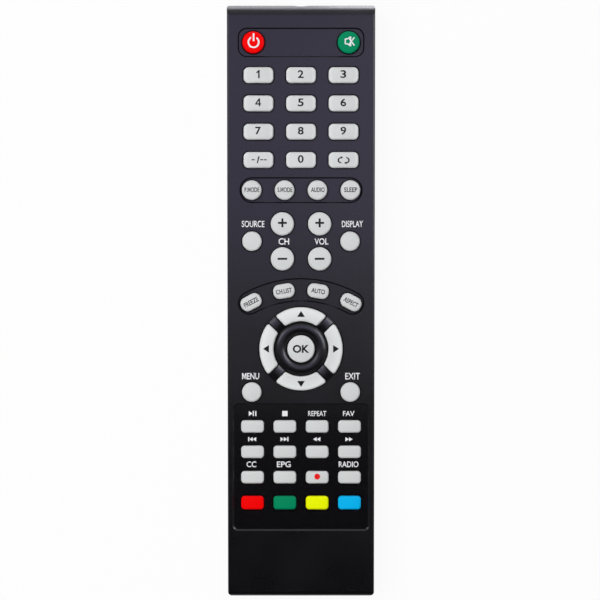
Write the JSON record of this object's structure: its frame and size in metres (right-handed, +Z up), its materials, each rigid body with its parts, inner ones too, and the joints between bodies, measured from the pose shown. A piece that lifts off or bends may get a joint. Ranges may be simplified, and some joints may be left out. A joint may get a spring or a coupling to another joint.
{
  "type": "tv remote control",
  "caption": "Slim black television remote with pale press keys, a ring navigation pad, coloured keys, a front infrared LED and a sliding battery door.",
  "frame": {"origin": "centre of the case's plan, on the surface that the back rests on", "axes": "+Y along the case towards the infrared end, +Z up out of the key face, +X to the right of the keys' reader"},
  "size_m": [0.0502, 0.2, 0.0223],
  "materials": {
    "case_black": "satin moulded",
    "key_grey": "satin",
    "key_red": "satin",
    "key_green": "satin",
    "key_yellow": "satin",
    "key_blue": "satin",
    "mat_silicone": "matte",
    "board_laminate": "laminate",
    "part_epoxy": "moulded epoxy",
    "led_lens": "clear epoxy",
    "contact_steel": "nickel plated",
    "cell_jacket": "printed jacket"
  },
  "bodies": {
    "case": {"upper_case": "case_black", "lower_case": "case_black", "keypad_mat": "mat_silicone", "circuit_board": "board_laminate", "board_parts": "part_epoxy", "infrared_led": "led_lens", "battery_contacts": "contact_steel", "battery_cells": "cell_jacket"},
    "battery_door": {"battery_door": "case_black"},
    "key_power": {"key_power": "key_red"},
    "key_mute": {"key_mute": "key_green"},
    "key_1": {"key_1": "key_grey"},
    "key_2": {"key_2": "key_grey"},
    "key_3": {"key_3": "key_grey"},
    "key_4": {"key_4": "key_grey"},
    "key_5": {"key_5": "key_grey"},
    "key_6": {"key_6": "key_grey"},
    "key_7": {"key_7": "key_grey"},
    "key_8": {"key_8": "key_grey"},
    "key_9": {"key_9": "key_grey"},
    "key_dash": {"key_dash": "key_grey"},
    "key_0": {"key_0": "key_grey"},
    "key_recall": {"key_recall": "key_grey"},
    "key_picture_mode": {"key_picture_mode": "key_grey"},
    "key_sound_mode": {"key_sound_mode": "key_grey"},
    "key_audio": {"key_audio": "key_grey"},
    "key_sleep": {"key_sleep": "key_grey"},
    "key_channel_up": {"key_channel_up": "key_grey"},
    "key_channel_down": {"key_channel_down": "key_grey"},
    "key_volume_up": {"key_volume_up": "key_grey"},
    "key_volume_down": {"key_volume_down": "key_grey"},
    "key_source": {"key_source": "key_grey"},
    "key_display": {"key_display": "key_grey"},
    "key_freeze": {"key_freeze": "key_grey"},
    "key_channel_list": {"key_channel_list": "key_grey"},
    "key_auto": {"key_auto": "key_grey"},
    "key_aspect": {"key_aspect": "key_grey"},
    "key_ok": {"key_ok": "key_grey"},
    "key_up": {"key_up": "key_grey"},
    "key_left": {"key_left": "key_grey"},
    "key_down": {"key_down": "key_grey"},
    "key_right": {"key_right": "key_grey"},
    "key_menu": {"key_menu": "key_grey"},
    "key_exit": {"key_exit": "key_grey"},
    "key_play": {"key_play": "key_grey"},
    "key_stop": {"key_stop": "key_grey"},
    "key_repeat": {"key_repeat": "key_grey"},
    "key_favourite": {"key_favourite": "key_grey"},
    "key_previous": {"key_previous": "key_grey"},
    "key_next": {"key_next": "key_grey"},
    "key_rewind": {"key_rewind": "key_grey"},
    "key_forward": {"key_forward": "key_grey"},
    "key_captions": {"key_captions": "key_grey"},
    "key_guide": {"key_guide": "key_grey"},
    "key_record": {"key_record": "key_grey"},
    "key_radio": {"key_radio": "key_grey"},
    "key_red": {"key_red": "key_red"},
    "key_green": {"key_green": "key_green"},
    "key_yellow": {"key_yellow": "key_yellow"},
    "key_blue": {"key_blue": "key_blue"}
  },
  "joints": [
    {"name": "battery_door_slide", "type": "slide", "parent": "case", "child": "battery_door", "axis": [0, -1, 0], "range_m": [0, 0.062]},
    {"name": "key_power_press", "type": "slide", "parent": "case", "child": "key_power", "axis": [0, 0, -1], "range_m": [0, 0.001], "stiffness_N_per_m": 300},
    {"name": "key_mute_press", "type": "slide", "parent": "case", "child": "key_mute", "axis": [0, 0, -1], "range_m": [0, 0.001], "stiffness_N_per_m": 300},
    {"name": "key_1_press", "type": "slide", "parent": "case", "child": "key_1", "axis": [0, 0, -1], "range_m": [0, 0.001], "stiffness_N_per_m": 300},
    {"name": "key_2_press", "type": "slide", "parent": "case", "child": "key_2", "axis": [0, 0, -1], "range_m": [0, 0.001], "stiffness_N_per_m": 300},
    {"name": "key_3_press", "type": "slide", "parent": "case", "child": "key_3", "axis": [0, 0, -1], "range_m": [0, 0.001], "stiffness_N_per_m": 300},
    {"name": "key_4_press", "type": "slide", "parent": "case", "child": "key_4", "axis": [0, 0, -1], "range_m": [0, 0.001], "stiffness_N_per_m": 300},
    {"name": "key_5_press", "type": "slide", "parent": "case", "child": "key_5", "axis": [0, 0, -1], "range_m": [0, 0.001], "stiffness_N_per_m": 300},
    {"name": "key_6_press", "type": "slide", "parent": "case", "child": "key_6", "axis": [0, 0, -1], "range_m": [0, 0.001], "stiffness_N_per_m": 300},
    {"name": "key_7_press", "type": "slide", "parent": "case", "child": "key_7", "axis": [0, 0, -1], "range_m": [0, 0.001], "stiffness_N_per_m": 300},
    {"name": "key_8_press", "type": "slide", "parent": "case", "child": "key_8", "axis": [0, 0, -1], "range_m": [0, 0.001], "stiffness_N_per_m": 300},
    {"name": "key_9_press", "type": "slide", "parent": "case", "child": "key_9", "axis": [0, 0, -1], "range_m": [0, 0.001], "stiffness_N_per_m": 300},
    {"name": "key_dash_press", "type": "slide", "parent": "case", "child": "key_dash", "axis": [0, 0, -1], "range_m": [0, 0.001], "stiffness_N_per_m": 300},
    {"name": "key_0_press", "type": "slide", "parent": "case", "child": "key_0", "axis": [0, 0, -1], "range_m": [0, 0.001], "stiffness_N_per_m": 300},
    {"name": "key_recall_press", "type": "slide", "parent": "case", "child": "key_recall", "axis": [0, 0, -1], "range_m": [0, 0.001], "stiffness_N_per_m": 300},
    {"name": "key_picture_mode_press", "type": "slide", "parent": "case", "child": "key_picture_mode", "axis": [0, 0, -1], "range_m": [0, 0.001], "stiffness_N_per_m": 300},
    {"name": "key_sound_mode_press", "type": "slide", "parent": "case", "child": "key_sound_mode", "axis": [0, 0, -1], "range_m": [0, 0.001], "stiffness_N_per_m": 300},
    {"name": "key_audio_press", "type": "slide", "parent": "case", "child": "key_audio", "axis": [0, 0, -1], "range_m": [0, 0.001], "stiffness_N_per_m": 300},
    {"name": "key_sleep_press", "type": "slide", "parent": "case", "child": "key_sleep", "axis": [0, 0, -1], "range_m": [0, 0.001], "stiffness_N_per_m": 300},
    {"name": "key_channel_up_press", "type": "slide", "parent": "case", "child": "key_channel_up", "axis": [0, 0, -1], "range_m": [0, 0.001], "stiffness_N_per_m": 300},
    {"name": "key_channel_down_press", "type": "slide", "parent": "case", "child": "key_channel_down", "axis": [0, 0, -1], "range_m": [0, 0.001], "stiffness_N_per_m": 300},
    {"name": "key_volume_up_press", "type": "slide", "parent": "case", "child": "key_volume_up", "axis": [0, 0, -1], "range_m": [0, 0.001], "stiffness_N_per_m": 300},
    {"name": "key_volume_down_press", "type": "slide", "parent": "case", "child": "key_volume_down", "axis": [0, 0, -1], "range_m": [0, 0.001], "stiffness_N_per_m": 300},
    {"name": "key_source_press", "type": "slide", "parent": "case", "child": "key_source", "axis": [0, 0, -1], "range_m": [0, 0.001], "stiffness_N_per_m": 300},
    {"name": "key_display_press", "type": "slide", "parent": "case", "child": "key_display", "axis": [0, 0, -1], "range_m": [0, 0.001], "stiffness_N_per_m": 300},
    {"name": "key_freeze_press", "type": "slide", "parent": "case", "child": "key_freeze", "axis": [0, 0, -1], "range_m": [0, 0.001], "stiffness_N_per_m": 300},
    {"name": "key_channel_list_press", "type": "slide", "parent": "case", "child": "key_channel_list", "axis": [0, 0, -1], "range_m": [0, 0.001], "stiffness_N_per_m": 300},
    {"name": "key_auto_press", "type": "slide", "parent": "case", "child": "key_auto", "axis": [0, 0, -1], "range_m": [0, 0.001], "stiffness_N_per_m": 300},
    {"name": "key_aspect_press", "type": "slide", "parent": "case", "child": "key_aspect", "axis": [0, 0, -1], "range_m": [0, 0.001], "stiffness_N_per_m": 300},
    {"name": "key_ok_press", "type": "slide", "parent": "case", "child": "key_ok", "axis": [0, 0, -1], "range_m": [0, 0.001], "stiffness_N_per_m": 300},
    {"name": "key_up_press", "type": "slide", "parent": "case", "child": "key_up", "axis": [0, 0, -1], "range_m": [0, 0.001], "stiffness_N_per_m": 300},
    {"name": "key_left_press", "type": "slide", "parent": "case", "child": "key_left", "axis": [0, 0, -1], "range_m": [0, 0.001], "stiffness_N_per_m": 300},
    {"name": "key_down_press", "type": "slide", "parent": "case", "child": "key_down", "axis": [0, 0, -1], "range_m": [0, 0.001], "stiffness_N_per_m": 300},
    {"name": "key_right_press", "type": "slide", "parent": "case", "child": "key_right", "axis": [0, 0, -1], "range_m": [0, 0.001], "stiffness_N_per_m": 300},
    {"name": "key_menu_press", "type": "slide", "parent": "case", "child": "key_menu", "axis": [0, 0, -1], "range_m": [0, 0.001], "stiffness_N_per_m": 300},
    {"name": "key_exit_press", "type": "slide", "parent": "case", "child": "key_exit", "axis": [0, 0, -1], "range_m": [0, 0.001], "stiffness_N_per_m": 300},
    {"name": "key_play_press", "type": "slide", "parent": "case", "child": "key_play", "axis": [0, 0, -1], "range_m": [0, 0.001], "stiffness_N_per_m": 300},
    {"name": "key_stop_press", "type": "slide", "parent": "case", "child": "key_stop", "axis": [0, 0, -1], "range_m": [0, 0.001], "stiffness_N_per_m": 300},
    {"name": "key_repeat_press", "type": "slide", "parent": "case", "child": "key_repeat", "axis": [0, 0, -1], "range_m": [0, 0.001], "stiffness_N_per_m": 300},
    {"name": "key_favourite_press", "type": "slide", "parent": "case", "child": "key_favourite", "axis": [0, 0, -1], "range_m": [0, 0.001], "stiffness_N_per_m": 300},
    {"name": "key_previous_press", "type": "slide", "parent": "case", "child": "key_previous", "axis": [0, 0, -1], "range_m": [0, 0.001], "stiffness_N_per_m": 300},
    {"name": "key_next_press", "type": "slide", "parent": "case", "child": "key_next", "axis": [0, 0, -1], "range_m": [0, 0.001], "stiffness_N_per_m": 300},
    {"name": "key_rewind_press", "type": "slide", "parent": "case", "child": "key_rewind", "axis": [0, 0, -1], "range_m": [0, 0.001], "stiffness_N_per_m": 300},
    {"name": "key_forward_press", "type": "slide", "parent": "case", "child": "key_forward", "axis": [0, 0, -1], "range_m": [0, 0.001], "stiffness_N_per_m": 300},
    {"name": "key_captions_press", "type": "slide", "parent": "case", "child": "key_captions", "axis": [0, 0, -1], "range_m": [0, 0.001], "stiffness_N_per_m": 300},
    {"name": "key_guide_press", "type": "slide", "parent": "case", "child": "key_guide", "axis": [0, 0, -1], "range_m": [0, 0.001], "stiffness_N_per_m": 300},
    {"name": "key_record_press", "type": "slide", "parent": "case", "child": "key_record", "axis": [0, 0, -1], "range_m": [0, 0.001], "stiffness_N_per_m": 300},
    {"name": "key_radio_press", "type": "slide", "parent": "case", "child": "key_radio", "axis": [0, 0, -1], "range_m": [0, 0.001], "stiffness_N_per_m": 300},
    {"name": "key_red_press", "type": "slide", "parent": "case", "child": "key_red", "axis": [0, 0, -1], "range_m": [0, 0.001], "stiffness_N_per_m": 300},
    {"name": "key_green_press", "type": "slide", "parent": "case", "child": "key_green", "axis": [0, 0, -1], "range_m": [0, 0.001], "stiffness_N_per_m": 300},
    {"name": "key_yellow_press", "type": "slide", "parent": "case", "child": "key_yellow", "axis": [0, 0, -1], "range_m": [0, 0.001], "stiffness_N_per_m": 300},
    {"name": "key_blue_press", "type": "slide", "parent": "case", "child": "key_blue", "axis": [0, 0, -1], "range_m": [0, 0.001], "stiffness_N_per_m": 300}
  ]
}
